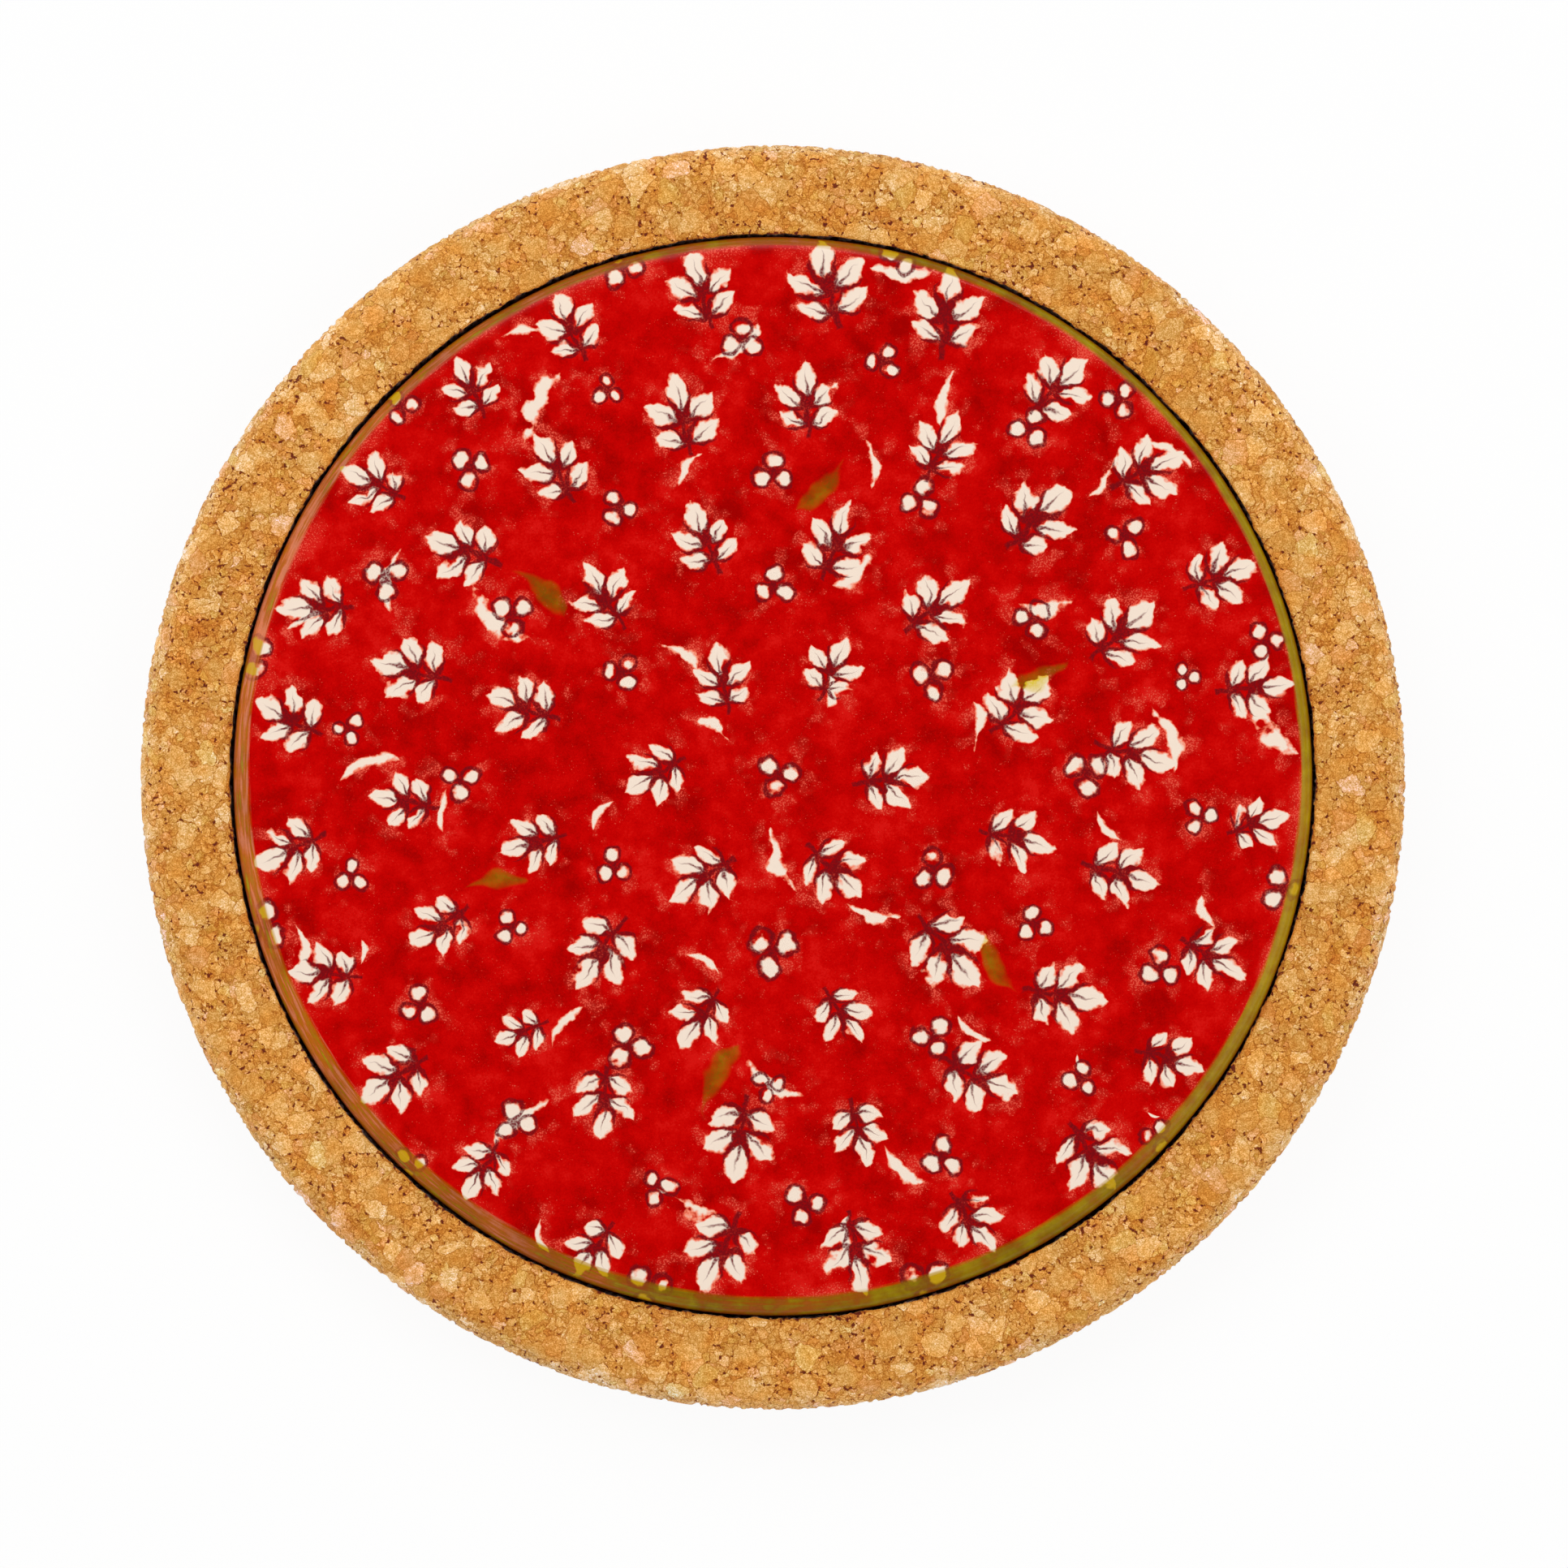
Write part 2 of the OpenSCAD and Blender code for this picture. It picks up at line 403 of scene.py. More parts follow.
    # relief too fine for the mesh, in millimetres: rounded granules, sunk lines and voids, and raised grain
    relief = add("MapRange", smooth, {
        "Value": distance, "From": (0.0, cork["creaseWidth"]), "To": (0.0, cork["creaseBump"])})
    for part, name in ((line, "lineBump"), (grain, "grainBump"), (void, "voidBump")):
        relief = add("Math", timesPlus, {0: part, 1: cork[name], 2: relief})
    bump = add("Bump", {}, {"Strength": 1.0, "Distance": mm, "Height": relief})
    surface = add("BsdfPrincipled", {}, {
        "Base Color": colour, "Roughness": 0.7, "IOR": 1.45, "Specular IOR Level": 0.25,
        "Sheen Weight": 0.2, "Sheen Roughness": 0.3, "Normal": bump})
    add("OutputMaterial", {}, {"Surface": surface})
    return material


corkMesh = turnedMesh("cork_body", corkRings(), wavePocket)
corkPiece = addPiece("cork_body", corkMesh, corkMaterial(), "cork_base")
addReliefModifier(corkPiece)
shaped = corkPiece.evaluated_get(bpy.context.evaluated_depsgraph_get())
corkPiece.data = bpy.data.meshes.new_from_object(shaped)
corkPiece.modifiers.clear()
print("cork made:", len(corkPiece.data.polygons), "faces")


# Tile

tile = {
    "shoulder": 2.0, "backChamfer": 1.0,
    "points": 640, "step": 1.3, "edgeStep": 0.3, "backStep": 8.0,  # round each ring, and ring to ring
    # finished by hand: the top is uneven by dish, and the rim draws in by wobble. Waves of the top are shares
    # of x and of y, length and phase, and those of the rim count and phase
    "dish": 0.05, "topWaves": [(1, 0, 9, 1), (0.6, 1, 11, 2), (1, -0.8, 7, 0)],
    "wobble": 0.12, "rimWaves": [(3, 1), (8, 2), (19, 0)], "rimReach": 0.1,
    "crown": 4.0, "crownDrop": 0.13,  # the top bends down by so much, over so far, before the shoulder
    # stamps stand in rings: radius, number and the turn of the first
    "seed": 4,
    "sprigRings": [(20.0, 6, 0), (40.5, 12, 15), (61.0, 18, 4), (80.5, 24, 9)],
    "berryRings": [(0.0, 1, 0), (30.3, 6, 30), (50.7, 12, 0), (71.0, 18, 14), (87.0, 12, 16.5)],
    "dabRings": [(49.0, 6, 20)],
    "missRings": [(13.0, 3, 50), (32.0, 6, 5), (52.0, 9, 30), (70.0, 13, 12), (85.0, 9, 40)],
    "byHand": (1.0, 14.0, 0.1), "atRandom": (3.0, 70.0, 0.3),  # how far place, turn and size stray
    # leaves of a sprig: centre, turn from upright, and half width and half length
    "tipLeaf": ((0.0, 3.7), 0, (1.8, 3.0)),
    "sideLeaf": ((3.0, 0.85), -52, (1.55, 2.8)),
    "lowLeaf": ((2.7, -2.8), -64, (1.42, 2.5)),
    "stem": (-6.3, 1.2, 0.36),  # lowest and highest point, and half width
    "heart": 0.8, "berryHeart": 0.7, "berry": 1.3, "berrySpread": 2.05,
    # half width and half length, how they bend and how far they stray: missed streaks and olive strokes
    "miss": (1.0, 4.6), "missBend": 0.06, "missStray": (1.4, 1.4, 0.0),
    "dab": (2.4, 6.3), "dabBend": 0.035, "dabStray": (1.5, 1.5, 0.0), "dabTaper": 0.5, "dabMiddle": 0.75,
    # pitch and reach of edges that stray, finer ones, ragged ones, and where the stamp printed short
    "stray": (4.0, 0.65), "fineStray": (1.3, 0.24), "ragged": (1.3, 0.28),
    "short": (4.0, 0.9), "shortFrom": (0.55, 0.75),
    "ground": [(0.33, "#d41410"), (0.42, "#c90604"), (0.5, "#c00202"), (0.58, "#b20201"), (0.68, "#9e0101")],
    "blotchPitch": 8.0, "porePitch": 3.0, "poreShare": 0.4, "grainPitch": 0.35, "grain": 0.24,
    # pale specks: how far from the slip, where in patches, and how far from the rim the red is thin; how the
    # level that shows as a speck falls with that; and a thin wash where it is thinnest
    "nearSlip": 4.5, "nearLeast": 0.25, "holePitch": 2.8, "holeFrom": (0.44, 0.65),
    "rimFrom": (6.0, 2.0), "rimThin": (1.0, 2.0), "rimBlotch": -3.0,
    "speck": "#e2503e", "speckPitch": 0.27, "speckLevel": (0.78, 0.43), "speckSoft": (-0.04, 0.12),
    "wash": {"From": (0.25, 1.0), "To": (0.0, 0.2)},
    "slip": "#f2dfcd", "slipEdge": "#f47c5c", "slipSoft": (-0.11, 0.1), "slipFull": 0.42,
    # plum lines, whose outline runs a little outside the edge of the slip
    "plumOnRed": "#760e14", "plumOnSlip": "#701822", "plumWidth": 0.6, "plumOutside": 0.15,
    "plumSoft": (-0.15, 0.15), "printPitch": 0.32, "printLoad": {"From": (0.32, 0.58), "To": (0.6, 0.98)},
    "olive": [(0.38, "#90640a"), (0.5, "#865606"), (0.62, "#784c08")], "oliveOnSlip": "#d9bd08",
    "oliveSoft": (-0.04, 0.3), "oliveLoad": {"From": (0.0, 0.75), "To": (0.3, 0.92)},
    "oliveGrain": {"From": (0.3, 0.6), "To": (0.75, 1.0)},
    # band on the shoulder: its hue ramp, hairs of the brush (turns round, pitch across, pull on the edge),
    # and how its hue and tone change with x and y, which run from -1 to 1 round the rim
    # the palest, pinkish stop, which only streaks at the left reach, is a painted highlight; the other stops
    # are the band's own colours
    "band": [(0.3, "#a28a00"), (0.4, "#9c7400"), (0.48, "#aa5c00"), (0.56, "#b85c18"), (0.68, "#cc744e")],
    "bandWidth": 2.0, "bandOff": (0.27, 0.8), "bandSoft": (-0.3, 0.5),
    "hairs": (12.0, 2.6, 0.9), "bandDrift": 1.6, "driftShare": {"From": (-0.8, 0.2), "To": (0.45, 0.85)},
    "hueSwing": {"From": (-0.6, 0.9), "To": (1.8, 0.5)}, "hueAcross": -0.12, "hueMiddle": 0.47,
    "bandTone": {"From": (0.35, 0.65), "To": (1.14, 0.82)},
    "bandShade": {"From": (0.4, 1.0), "To": (1.0, 0.72)},
    "bandOnSlip": "#c8a00c", "overSlip": 0.8, "overPlum": 0.4,
    # the line at the band's outside: partly its own colour, partly painted shade towards the gap
    "bandEdgeShade": "#a8480e", "lineFrom": (0.5, 0.1), "edgeShadeShare": 0.7,
    "biscuit": "#c99a72", "glazeEnds": (2.0, 3.0),  # bare clay, and the height at which the glaze ends
    "glazeRough": (0.12, 0.3), "clayRough": 0.8, "peelPitch": 5.0, "peel": 0.05, "slipRise": 0.25,
}


def stampRing(random, strays, radius, count, start):
    # count stamps round a ring, upright towards the rim, each strayed in place, turn and size: rows of x, y,
    # turn and size
    place, turn, size = strays
    a = np.radians(start + 360 * np.arange(count) / count)
    x = radius * np.cos(a) + random.normal(0, place, count)
    y = radius * np.sin(a) + random.normal(0, place, count)
    return np.stack([x, y, a - np.pi / 2 + np.radians(random.normal(0, turn, count)),
                     1 + random.normal(0, size, count)], 1)


def mapStamps(mesh, name, stamps):
    # a UV map in millimetres: each face takes the stamp nearest to its middle, and each of its corners gets
    # its place in that stamp's own frame, (u, v) = turned back by the stamp's turn (corner - stamp) / size
    centres = np.zeros(len(mesh.polygons) * 3)
    mesh.polygons.foreach_get("center", centres)
    corners = np.zeros(len(mesh.loops), int)
    mesh.loops.foreach_get("vertex_index", corners)
    totals = np.zeros(len(mesh.polygons), int)
    mesh.polygons.foreach_get("loop_total", totals)
    points = np.zeros(len(mesh.vertices) * 3)
    mesh.vertices.foreach_get("co", points)
    away = centres.reshape(-1, 1, 3)[..., :2] / mm - stamps[None, :, :2]
    chosen = stamps[np.repeat((away ** 2).sum(2).argmin(1), totals)]
    d = points.reshape(-1, 3)[corners, :2] / mm - chosen[:, :2]
    c, s = np.cos(chosen[:, 2]), np.sin(chosen[:, 2])
    uv = np.stack([c * d[:, 0] + s * d[:, 1], c * d[:, 1] - s * d[:, 0]], 1) / chosen[:, 3:]
    mesh.uv_layers.new(name=name).data.foreach_set("uv", uv.ravel())


def tileRings():
    # from the middle of the back out over its chamfer, up the side, over the shoulder and in over the top
    shoulder, chamfer, step, count = tile["shoulder"], tile["backChamfer"], tile["edgeStep"], tile["points"]
    under = alongLine((0, tileBack), (tileRadius - chamfer, tileBack), tile["backStep"])
    edge = np.concatenate([
        alongLine((tileRadius - chamfer, tileBack), (tileRadius, tileBack + chamfer), 2 * step),
        alongLine((tileRadius, tileBack + chamfer), (tileRadius, tileTop - shoulder), 4 * step),
        alongArc((tileRadius - shoulder, tileTop - shoulder), shoulder, (0, 90), step)])
    over = alongLine((tileRadius - shoulder, tileTop), (0, tileTop), tile["step"])
    return [(*p, n) for p, n in zip(under, ringCounts(under[:, 0], count, tileRadius))] + \
        [(*p, count) for p in edge] + \
        [(*p, n) for p, n in zip(over, ringCounts(over[:, 0], count, tileRadius))] + [(0.0, tileTop, 1)]


def handFinish(points):
    # the top sinks by dish (1 + the mean of its waves) / 2 and by crownDrop t^2, where t runs from 0 to 1
    # over the crown and on over the shoulder. Both fade out down the side. The rim draws in by
    # wobble (1 + the mean of its waves) / 2, and the top inside it ever less
    x, y, z = points.T
    a = np.arctan2(y, x)
    r = np.hypot(x, y)
    top = sum(np.sin((u * x + v * y) / length + phase) for u, v, length, phase in tile["topWaves"])
    rim = sum(np.sin(count * a + phase) for count, phase in tile["rimWaves"])
    height = np.clip((z - tileBack) / (tileTop - tileBack), 0, 1)
    nearRim = np.clip((r / tileRadius - (1 - tile["rimReach"])) / tile["rimReach"], 0, 1) ** 2
    inward = 1 - tile["wobble"] * (1 + rim / 3) / 2 * nearRim / tileRadius
    t = np.maximum(0, (r - tileRadius + tile["shoulder"]) / tile["crown"] + 1)
    sunk = tile["dish"] * (1 + top / 3) / 2 + tile["crownDrop"] * t ** 2
    return np.stack([x * inward, y * inward, z - sunk * height], 1)


def addLeaf(add, place, leaf):
    # in the leaf's own frame b runs across it and a from base to tip, both 1 at its outline: the leaf is
    # where (1 - a^2) - |b| > 0, so it is pointed at both ends. Gives that times the half width, and the plum
    # lines: a vein that thins towards the tip, and the outline of the lower half
    centre, turn, (halfWidth, halfLength) = leaf
    own = add("Mapping", {"vector_type": "TEXTURE"}, {
        "Vector": place, "Location": (*centre, 0.0), "Rotation": (0.0, 0.0, math.radians(turn)),
        "Scale": (halfWidth, halfLength, 1.0)})
    axis = add("SeparateXYZ", {}, {"Vector": own})
    across = add("Math", absolute, {0: axis.outputs["X"]})
    square = add("Math", times, {0: axis.outputs["Y"], 1: axis.outputs["Y"]})
    rest = add("Math", minus, {0: 1.0, 1: square})
    inside = add("Math", minus, {0: rest, 1: across})
    inside = add("Math", times, {0: inside, 1: halfWidth})
    thin = add("MapRange", {}, {
        "Value": axis.outputs["Y"], "From": (-1.0, 0.9), "To": (0.6 * tile["plumWidth"], -0.2)})
    vein = add("Math", timesPlus, {0: across, 1: -halfWidth, 2: thin})
    fromBase = add("Math", timesPlus, {0: axis.outputs["Y"], 1: halfLength, 2: halfLength})
    vein = add("Math", lowest, {0: vein, 1: fromBase})
    edge = add("Math", absolute, {0: add("Math", plus, {0: inside, 1: tile["plumOutside"]})})
    fade = add("MapRange", {}, {
        "Value": axis.outputs["Y"], "From": (-1.0, 0.35), "To": (tile["plumWidth"], -0.1)})
    outline = add("Math", minus, {0: fade, 1: edge})
    lines = add("Math", highest, {0: vein, 1: outline})
    return inside, lines


def addDrop(add, place, bend, halfWidth, taper):
    # a drop along the second axis of place, bent by bend y^2: it is where halfWidth - taper y^2 - |x| > 0.
    # Gives the axes, the part of that before |x| is taken off, and |x|
    axis = add("SeparateXYZ", {}, {"Vector": place})
    square = add("Math", times, {0: axis.outputs["Y"], 1: axis.outputs["Y"]})
    bent = add("Math", timesPlus, {0: square, 1: bend, 2: axis.outputs["X"]})
    rest = add("Math", timesPlus, {0: square, 1: -taper, 2: halfWidth})
    return axis, rest, add("Math", absolute, {0: bent})


def addStray(add, place, pitch, reach, shift):
    # a vector that strays by noise, mostly within reach, because noise seldom leaves the middle third of its
    # range. The noise is read shift to the right
    shifted = add("VectorMath", plus, {0: place, 1: (shift, 0.0, 0.0)})
    noise = add("TexNoise", {}, {"Vector": shifted, "Scale": 1 / pitch, "Detail": 1.0})
    centred = add("VectorMath", minus, {0: noise.outputs["Color"], 1: half})
    return add("VectorMath", scaled, {"Vector": centred, "Scale": 3 * reach})


def addStamps(add, stray, wander):
    # how far inside the bare slip a place lies, and how far inside the plum lines, both in millimetres.
    # A sprig is a tip leaf, a stem with a heart, and side and low leaves that |x| mirrors
    sprigMap = add("UVMap", {"uv_map": "sprig"}, {})
    sprigPlace = add("VectorMath", plus, {0: sprigMap, 1: wander})
    axis = add("SeparateXYZ", {}, {"Vector": sprigPlace})
    aside = add("Math", absolute, {0: axis.outputs["X"]})
    folded = add("CombineXYZ", {}, {"X": aside, "Y": axis.outputs["Y"]})
    slip, plum = addLeaf(add, sprigPlace, tile["tipLeaf"])
    for leaf in ("sideLeaf", "lowLeaf"):
        inside, lines = addLeaf(add, folded, tile[leaf])
        slip = add("Math", highest, {0: slip, 1: inside})
        plum = add("Math", highest, {0: plum, 1: lines})
    bottom, top, halfWidth = tile["stem"]
    stem = add("Math", minus, {0: halfWidth, 1: aside})
    fromBottom = add("Math", minus, {0: axis.outputs["Y"], 1: bottom})
    toTop = add("Math", minus, {0: top, 1: axis.outputs["Y"]})
    stem = add("Math", lowest, {0: stem, 1: fromBottom})
    stem = add("Math", lowest, {0: stem, 1: toTop})
    plum = add("Math", highest, {0: plum, 1: stem})
    heart = add("Math", minus, {0: tile["heart"], 1: add("VectorMath", lengthOf, {0: sprigPlace})})
    plum = add("Math", highest, {0: plum, 1: heart})

    # berries: three round dots, each with a plum ring, and a heart between them
    berryMap = add("UVMap", {"uv_map": "berry"}, {})
    berryPlace = add("VectorMath", plus, {0: berryMap, 1: wander})
    for turn in (90, 210, 330):
        centre = [tile["berrySpread"] * f(math.radians(turn)) for f in (math.cos, math.sin)]
        away = add("VectorMath", distanceTo, {0: berryPlace, 1: (*centre, 0.0)})
        dot = add("Math", minus, {0: tile["berry"], 1: away})
        slip = add("Math", highest, {0: slip, 1: dot})
        edge = add("Math", absolute, {0: add("Math", plus, {0: dot, 1: tile["plumOutside"]})})
        ring = add("Math", minus, {0: 0.5 * tile["plumWidth"], 1: edge})
        plum = add("Math", highest, {0: plum, 1: ring})
    heart = add("Math", minus, {0: tile["berryHeart"], 1: add("VectorMath", lengthOf, {0: berryPlace})})
    plum = add("Math", highest, {0: plum, 1: heart})

    # streaks that the sponge missed: narrow bent drops of bare slip
    missMap = add("UVMap", {"uv_map": "miss"}, {})
    missPlace = add("VectorMath", timesPlus, {0: stray, 1: tile["missStray"], 2: missMap})
    width, length = tile["miss"]
    axis, rest, across = addDrop(add, missPlace, tile["missBend"], width, width / length ** 2)
    slip = add("Math", highest, {0: slip, 1: add("Math", minus, {0: rest, 1: across})})
    return slip, plum


def glazeMaterial():
    # Sponged and stamped earthenware under a clear glaze: cream slip shows where the red sponge was kept off,
    # plum lines are stamped over both, a few strokes of olive are brushed on, and the shoulder is banded in
    # olive. To the eye the red is deep, blotched and speckled, edges are ragged, and only the glaze shines
    material, add = newMaterial("spongedEarthenwareClearGlaze")
    coordinates = add("TexCoord", {}, {})
    place = add("VectorMath", scaled, {"Vector": coordinates.outputs["Object"], "Scale": 1 / mm})
    height = add("SeparateXYZ", {}, {"Vector": place}).outputs["Z"]
    flat = add("VectorMath", times, {0: place, 1: level})
    radius = add("VectorMath", lengthOf, {0: flat})
    stray = addStray(add, place, *tile["stray"], 0.0)
    fineStray = addStray(add, place, *tile["fineStray"], 50.0)
    bothStray = add("VectorMath", plus, {0: stray, 1: fineStray})
    slip, plum = addStamps(add, stray, add("VectorMath", times, {0: bothStray, 1: level}))

    # places where the stamp printed short, and ragged edges
    pitch, depth = tile["short"]
    short = add("TexNoise", {}, {"Vector": place, "Scale": 1 / pitch, "Detail": 1.0})
    short = add("MapRange", {}, {"Value": short, "From": tile["shortFrom"], "To": (0.0, depth)})
    slip = add("Math", minus, {0: slip, 1: short})
    pitch, reach = tile["ragged"]
    ragged = add("TexNoise", {}, {"Vector": place, "Scale": 1 / pitch, "Detail": 2.0})
    ragged = add("MapRange", {}, {"Value": ragged, "From": noiseSpan, "To": (-reach, reach)})
    slip = add("Math", plus, {0: slip, 1: ragged})
    slipMask = add("MapRange", smooth, {"Value": slip, "From": tile["slipSoft"]})

    # red ground: overlapping prints of a sponge
    blotch, pore = (
        add("TexNoise", {}, {"Vector": place, "Scale": 1 / pitch, "Detail": 2.0, "Roughness": rough})
        for pitch, rough in ((tile["blotchPitch"], 0.5), (tile["porePitch"], 0.6)))
    load = add("Mix", {}, {"Factor": tile["poreShare"], "A": blotch, "B": pore})
    grain = add("TexNoise", {}, {"Vector": place, "Scale": 1 / tile["grainPitch"], "Detail": 1.0})
    grained = add("Math", timesPlus, {0: grain, 1: tile["grain"], 2: load})
    grained = add("Math", minus, {0: grained, 1: tile["grain"] / 2})
    red = add("ValToRGB", {"stops": tile["ground"]}, {"Fac": grained})

    # where little colour reached, round the slip in patches and at the rim, pale dots show through, more of
    # them the thinner the red is
    near = add("MapRange", {}, {
        "Value": slip, "From": (-tile["nearSlip"], 0.0), "To": (tile["nearLeast"], 1.0)})
    holes = add("TexNoise", {}, {"Vector": place, "Scale": 1 / tile["holePitch"], "Detail": 1.0})
    holes = add("MapRange", {}, {"Value": holes, "From": tile["holeFrom"]})
    thinness = add("Math", times, {0: near, 1: holes})
    inner, outer = tile["rimFrom"]
    atRim = add("MapRange", {}, {
        "Value": radius, "From": (tileRadius - inner, tileRadius - outer), "To": tile["rimThin"]})
    atRim = add("Math", timesPlus, {0: blotch, 1: tile["rimBlotch"], 2: atRim})
    thinness = add("Math", highest, {0: thinness, 1: atRim})
    dots = add("TexNoise", {}, {"Vector": place, "Scale": 1 / tile["speckPitch"], "Detail": 1.0})
    least = add("MapRange", {}, {"Value": thinness, "To": tile["speckLevel"]})
    above = add("Math", minus, {0: dots, 1: least})
    speck = add("MapRange", smooth, {"Value": above, "From": tile["speckSoft"]})
    speck = add("Math", highest, {0: speck, 1: add("MapRange", {}, {"Value": thinness, **tile["wash"]})})
    ground = add("Mix", colourMix, {"Factor": speck, "A": red, "B": rgb(tile["speck"])})
    slipDepth = add("MapRange", smooth, {"Value": slip, "From": (0.0, tile["slipFull"])})
    cream = add("Mix", colourMix, {"Factor": slipDepth, "A": rgb(tile["slipEdge"]), "B": rgb(tile["slip"])})
    colour = add("Mix", colourMix, {"Factor": slipMask, "A": ground, "B": cream})

    # plum lines: speckled, because the stamp prints unevenly
    uneven = add("TexNoise", {}, {"Vector": place, "Scale": 1 / tile["printPitch"], "Detail": 1.0})
    uneven = add("MapRange", {}, {"Value": uneven, **tile["printLoad"]})
    plumMask = add("MapRange", smooth, {"Value": plum, "From": tile["plumSoft"]})
    plumMask = add("Math", times, {0: plumMask, 1: uneven})
    plumColour = add("Mix", colourMix, {
        "Factor": slipMask, "A": rgb(tile["plumOnRed"]), "B": rgb(tile["plumOnSlip"])})
    colour = add("Mix", colourMix, {"Factor": plumMask, "A": colour, "B": plumColour})

    # olive strokes: bent drops, fatter at one end, uneven and partly see-through
    dabMap = add("UVMap", {"uv_map": "dab"}, {})
    dabPlace = add("VectorMath", timesPlus, {0: stray, 1: tile["dabStray"], 2: dabMap})
    width, length = tile["dab"]
    axis, rest, across = addDrop(add, dabPlace, tile["dabBend"], 1.0, 1 / length ** 2)
    across = add("Math", {"operation": "DIVIDE"}, {0: across, 1: width})
    fat = add("Math", timesPlus, {0: axis.outputs["Y"], 1: -tile["dabTaper"] / length, 2: tile["dabMiddle"]})
    fat = add("Math", highest, {0: fat, 1: 0.1})
    rest = add("Math", times, {0: rest, 1: fat})
    inside = add("Math", minus, {0: rest, 1: across})
    thick = add("MapRange", {}, {"Value": inside, **tile["oliveLoad"]})
    thin = add("MapRange", {}, {"Value": grain, **tile["oliveGrain"]})
    thick = add("Math", times, {0: thick, 1: thin})
    dabMask = add("MapRange", smooth, {"Value": inside, "From": tile["oliveSoft"]})
    dabMask = add("Math", times, {0: dabMask, 1: thick})
    olive = add("ValToRGB", {"stops": tile["olive"]}, {"Fac": pore})
    olive = add("Mix", colourMix, {"Factor": slipMask, "A": olive, "B": rgb(tile["oliveOnSlip"])})
    colour = add("Mix", colourMix, {"Factor": dabMask, "A": colour, "B": olive})

    # band on the shoulder, brushed round, a little off centre. Its hue follows hairs of the brush and a slow
    # drift, with more of the hairs at the left, and runs from brown at the left to olive at the right;
    # its palest, pinkish streaks at the left are a painted highlight
    direction = add("VectorMath", {"operation": "NORMALIZE"}, {0: flat})
    toSide = add("SeparateXYZ", {}, {"Vector": direction})
    hairsRound, hairsAcross, hairPull = tile["hairs"]
    brushed = add("VectorMath", scaled, {"Vector": direction, "Scale": hairsRound})
    lift = add("CombineXYZ", {}, {"Z": add("Math", times, {0: radius, 1: hairsAcross})})
    brushed = add("VectorMath", plus, {0: brushed, 1: lift})
    hair = add("TexNoise", {}, {"Vector": brushed, "Scale": 1.0, "Detail": 2.0})
    drift = add("TexNoise", {}, {"Vector": direction, "Scale": tile["bandDrift"], "Detail": 2.0})
    soft = add("Mix", {}, {"Factor": 0.5, "A": drift, "B": pore})
    share = add("MapRange", {}, {"Value": toSide.outputs["X"], **tile["driftShare"]})
    hue = add("Mix", {}, {"Factor": share, "A": hair, "B": soft})
    swing = add("MapRange", {}, {"Value": toSide.outputs["X"], **tile["hueSwing"]})
    middle = add("Math", timesPlus, {0: toSide.outputs["X"], 1: tile["hueAcross"], 2: tile["hueMiddle"]})
    hue = add("Math", minus, {0: hue, 1: 0.5})
    hue = add("Math", timesPlus, {0: hue, 1: swing, 2: middle})
    band = add("ValToRGB", {"stops": tile["band"]}, {"Fac": hue})
    tone = add("MapRange", {}, {"Value": grained, **tile["bandTone"]})
    frontOrBack = add("Math", absolute, {0: toSide.outputs["Y"]})
    darker = add("MapRange", {}, {"Value": frontOrBack, **tile["bandShade"]})
    tone = add("Math", times, {0: tone, 1: darker})
    band = add("VectorMath", scaled, {"Vector": band, "Scale": tone})

    # it is yellower over slip and darker over plum, and begins unevenly, with a darker line at its outside,
    # partly the rim's own reddish brown and partly painted shade where the shoulder turns down into the gap
    over = add("Math", times, {0: slipDepth, 1: tile["overSlip"]})
    band = add("Mix", colourMix, {"Factor": over, "A": band, "B": rgb(tile["bandOnSlip"])})
    shade = add("Math", times, {0: plumMask, 1: tile["overPlum"]})
    band = add("Mix", colourMix, {"Factor": shade, "A": band, "B": rgb(tile["plumOnRed"])})
    fromCentre = add("VectorMath", distanceTo, {0: flat, 1: (*tile["bandOff"], 0.0)})
    edge = add("Math", timesPlus, {0: hair, 1: hairPull, 2: fromCentre})
    begins = [tileRadius - tile["bandWidth"] + end for end in tile["bandSoft"]]
    bandMask = add("MapRange", smooth, {"Value": edge, "From": begins})
    colour = add("Mix", colourMix, {"Factor": bandMask, "A": colour, "B": band})
    # the darker line at the rim: partly the rim's own colour, partly painted shade where the shoulder falls
    # into the gap
    inner, outer = tile["lineFrom"]
    line = add("MapRange", smooth, {
        "Value": radius, "From": (tileRadius - inner, tileRadius - outer), "To": (0.0, tile["edgeShadeShare"])})
    colour = add("Mix", colourMix, {"Factor": line, "A": colour, "B": rgb(tile["bandEdgeShade"])})

    # bare clay below the glaze
    lower, upper = tile["glazeEnds"]
    clay = add("MapRange", smooth, {
        "Value": height, "From": (tileBack + lower, tileBack + upper), "To": (1.0, 0.0)})
    colour = add("Mix", colourMix, {"Factor": clay, "A": colour, "B": rgb(tile["biscuit"])})
    brushMarks = add("MapRange", {}, {"Value": bandMask, "To": tile["glazeRough"]})
    rough = add("Mix", {}, {"Factor": clay, "A": brushMarks, "B": tile["clayRough"]})

    # the glaze's surface: slow waves, and the slip a little raised
    peel = add("TexNoise", {}, {"Vector": place, "Scale": 1 / tile["peelPitch"], "Detail": 1.0})
    relief = add("Math", timesPlus, {0: slipMask, 1: tile["slipRise"], 2: peel})
    bump = add("Bump", {}, {"Strength": 1.0, "Distance": tile["peel"] * mm, "Height": relief})
    surface = add("BsdfPrincipled", {}, {
        "Base Color": colour, "Roughness": rough, "IOR": 1.5, "Specular IOR Level": 0.15, "Normal": bump})
    add("OutputMaterial", {}, {"Surface": surface})
    return material


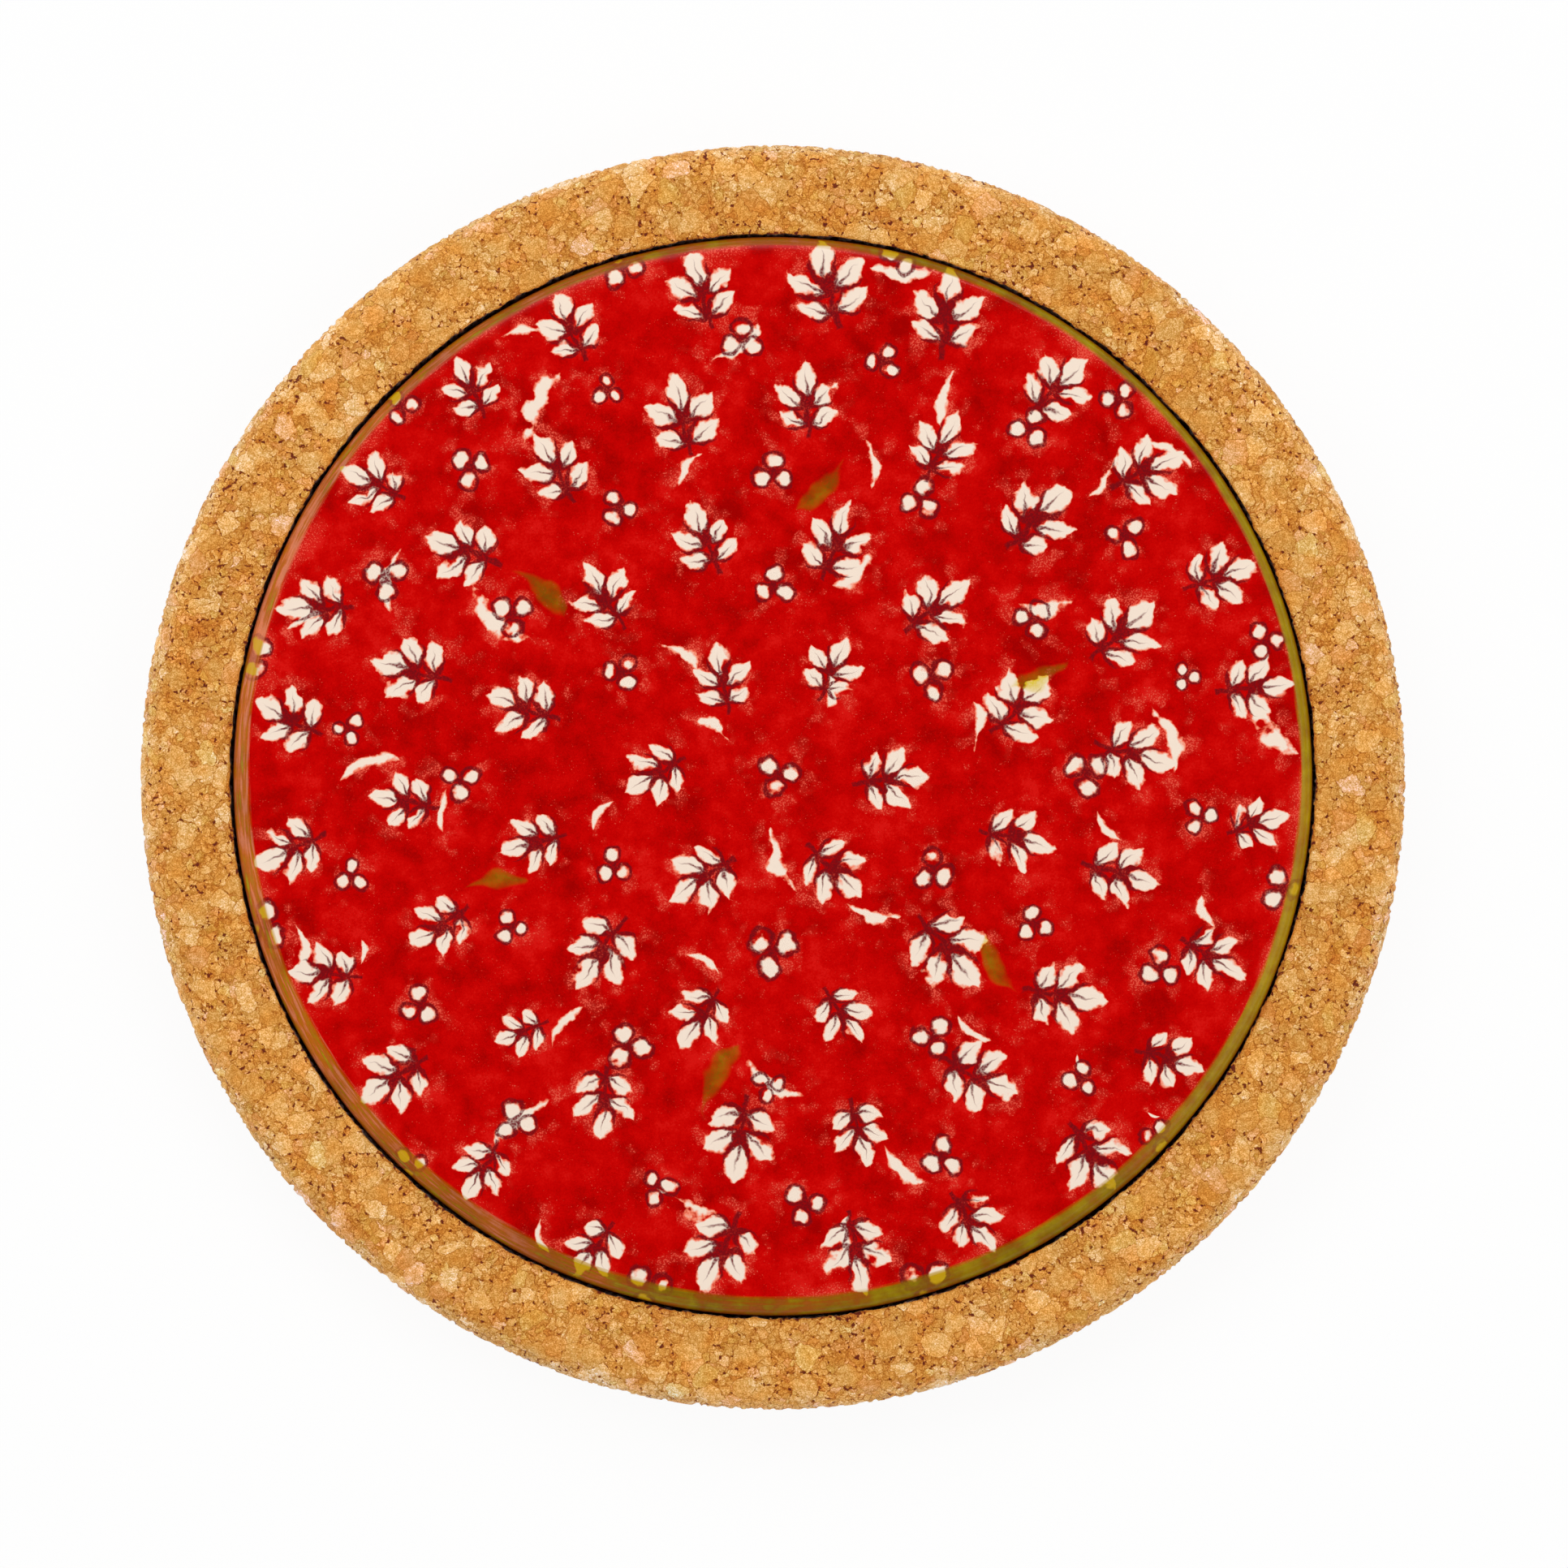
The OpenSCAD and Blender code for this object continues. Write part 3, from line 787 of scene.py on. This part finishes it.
tileMesh = turnedMesh("glazed_tile", tileRings(), handFinish)
random = np.random.default_rng(tile["seed"])
for name, strays in (("sprig", "byHand"), ("berry", "byHand"), ("dab", "byHand"), ("miss", "atRandom")):
    stamps = [stampRing(random, tile[strays], *ring) for ring in tile[name + "Rings"]]
    mapStamps(tileMesh, name, np.concatenate(stamps))
addPiece("glazed_tile", tileMesh, glazeMaterial(), "ceramic_tile")
print("tile made:", len(tileMesh.polygons), "faces")


# Adhesive

bond = {"milky": [(0.35, "#c9c1b0"), (0.65, "#e4dfd3")], "cloudPitch": 6.0, "relief": 0.1}


def siliconeMaterial():
    # Silicone adhesive, pressed out between clay and cork: milky and cloudy, with a soft sheen
    material, add = newMaterial("siliconeAdhesivePressed")
    place = add("TexCoord", {}, {}).outputs["Object"]
    cloud = add("TexNoise", {}, {"Vector": place, "Scale": 1 / (bond["cloudPitch"] * mm), "Detail": 3.0})
    colour = add("ValToRGB", {"stops": bond["milky"]}, {"Fac": cloud})
    bump = add("Bump", {}, {"Strength": 1.0, "Distance": bond["relief"] * mm, "Height": cloud})
    surface = add("BsdfPrincipled", {}, {
        "Base Color": colour, "Roughness": 0.4, "IOR": 1.41, "Normal": bump})
    add("OutputMaterial", {}, {"Surface": surface})
    return material


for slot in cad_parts["tile_adhesive"].material_slots:
    slot.material = siliconeMaterial()
print("adhesive made")


# Stage: floor, camera and lights

stage = {
    "floor": 4000.0, "paper": "#f4f4f2",
    "floorGlow": 0.92,  # how much of the floor's white is its own: the rest takes the object's shadow
    "lens": 135.0, "sensor": 36.0, "imageSize": 1932, "pixelsPerMillimetre": 7.425,
    "objectPixel": (952.05, 955.6),  # where the foot's middle would be in the photograph
    "tilt": 1.4,  # moves the tile 0.15 mm against the outer edge, as in the photograph
    "lampDistance": 1300.0, "lampSize": 850.0,
    # turn about Z, height in degrees, light at the object
    "lamps": [(106, 52, 0.29), (38, 50, 0.13), (-22, 52, 0.24), (250, 50, 0.09), (166, 50, 0.23)],
    "sky": (0.18, 0.01), "skyFrom": (0.35, 0.9),  # strength low and high in the sky, and where it changes
    "horizon": 1.5, "horizonFrom": (0.1, 0.35),
}
white = (1.0, 1.0, 1.0, 1.0)


def paperMaterial():
    # matt white paper, which the camera sees as almost pure white with the object's shadow left on it
    material, add = newMaterial("whiteBackgroundPaper")
    paper = add("BsdfDiffuse", {}, {"Color": rgb(stage["paper"])})
    glow = add("Emission", {}, {"Color": white, "Strength": 1.0})
    ray = add("LightPath", {}, {})
    seen = add("Math", highest, {0: ray.outputs["Is Camera Ray"], 1: ray.outputs["Is Glossy Ray"]})
    seen = add("Math", highest, {0: seen, 1: ray.outputs["Is Transmission Ray"]})
    share = add("Math", times, {0: seen, 1: stage["floorGlow"]})
    surface = add("MixShader", {}, {"Fac": share, 1: paper, 2: glow})
    add("OutputMaterial", {}, {"Surface": surface})
    return material


reach = stage["floor"] / 2 * mm
corners = [(-reach, -reach, 0), (reach, -reach, 0), (reach, reach, 0), (-reach, reach, 0)]
floorMesh = bpy.data.meshes.new("floor")
floorMesh.from_pydata(corners, [], [(0, 1, 2, 3)])
floorMesh.materials.append(paperMaterial())
floor = bpy.data.objects.new("floor", floorMesh)
bpy.context.scene.collection.objects.link(floor)

# the camera looks down at the widest ring of the cork, which lies topEdge below its top, and stands tilt off
# the plumb
cameraData = bpy.data.cameras.new("camera")
cameraData.lens, cameraData.sensor_width = stage["lens"], stage["sensor"]
cameraData.clip_start, cameraData.clip_end = 0.05, 20.0
distance = stage["imageSize"] / stage["pixelsPerMillimetre"] * stage["lens"] / stage["sensor"]
middle = (stage["imageSize"] - 1) / 2
aimX = (middle - stage["objectPixel"][0]) / stage["pixelsPerMillimetre"]
aimY = (stage["objectPixel"][1] - middle) / stage["pixelsPerMillimetre"]
tilt = math.radians(stage["tilt"])
camera = bpy.data.objects.new("camera", cameraData)
camera.location = (aimX * mm, (aimY - distance * math.sin(tilt)) * mm,
                   (corkTop - cork["topEdge"] + distance * math.cos(tilt)) * mm)
camera.rotation_euler = (tilt, 0, 0)
bpy.context.scene.collection.objects.link(camera)
bpy.context.scene.camera = camera

for turn, rise, light in stage["lamps"]:
    # a lamp of pi^2 d^2 light / sin(rise) watts lights the object's top as a sky of that strength would
    away = stage["lampDistance"] * mm
    a, e = math.radians(turn), math.radians(rise)
    lamp = bpy.data.lights.new("softbox", "AREA")
    lamp.size = stage["lampSize"] * mm
    lamp.energy = math.pi ** 2 * away ** 2 * light / math.sin(e)
    holder = bpy.data.objects.new("softbox", lamp)
    holder.location = (
        away * math.cos(a) * math.cos(e), away * math.sin(a) * math.cos(e), away * math.sin(e))
    holder.rotation_euler = holder.location.to_track_quat("Z", "Y").to_euler()
    bpy.context.scene.collection.objects.link(holder)

world = bpy.data.worlds.new("studio")
bpy.context.scene.world = world
world.use_nodes = True
world.node_tree.nodes.clear()
add = functools.partial(addNode, world.node_tree)
direction = add("TexCoord", {}, {})
up = add("SeparateXYZ", {}, {"Vector": direction.outputs["Generated"]}).outputs["Z"]
dome = add("MapRange", smooth, {"Value": up, "From": stage["skyFrom"], "To": stage["sky"]})
glow = add("MapRange", smooth, {"Value": up, "From": stage["horizonFrom"], "To": (stage["horizon"], 0.0)})
strength = add("Math", plus, {0: dome, 1: glow})
sky = add("Background", {}, {"Color": white, "Strength": strength})
add("OutputWorld", {}, {"Surface": sky})

bpy.context.scene.view_settings.view_transform = "Standard"
print("stage set")
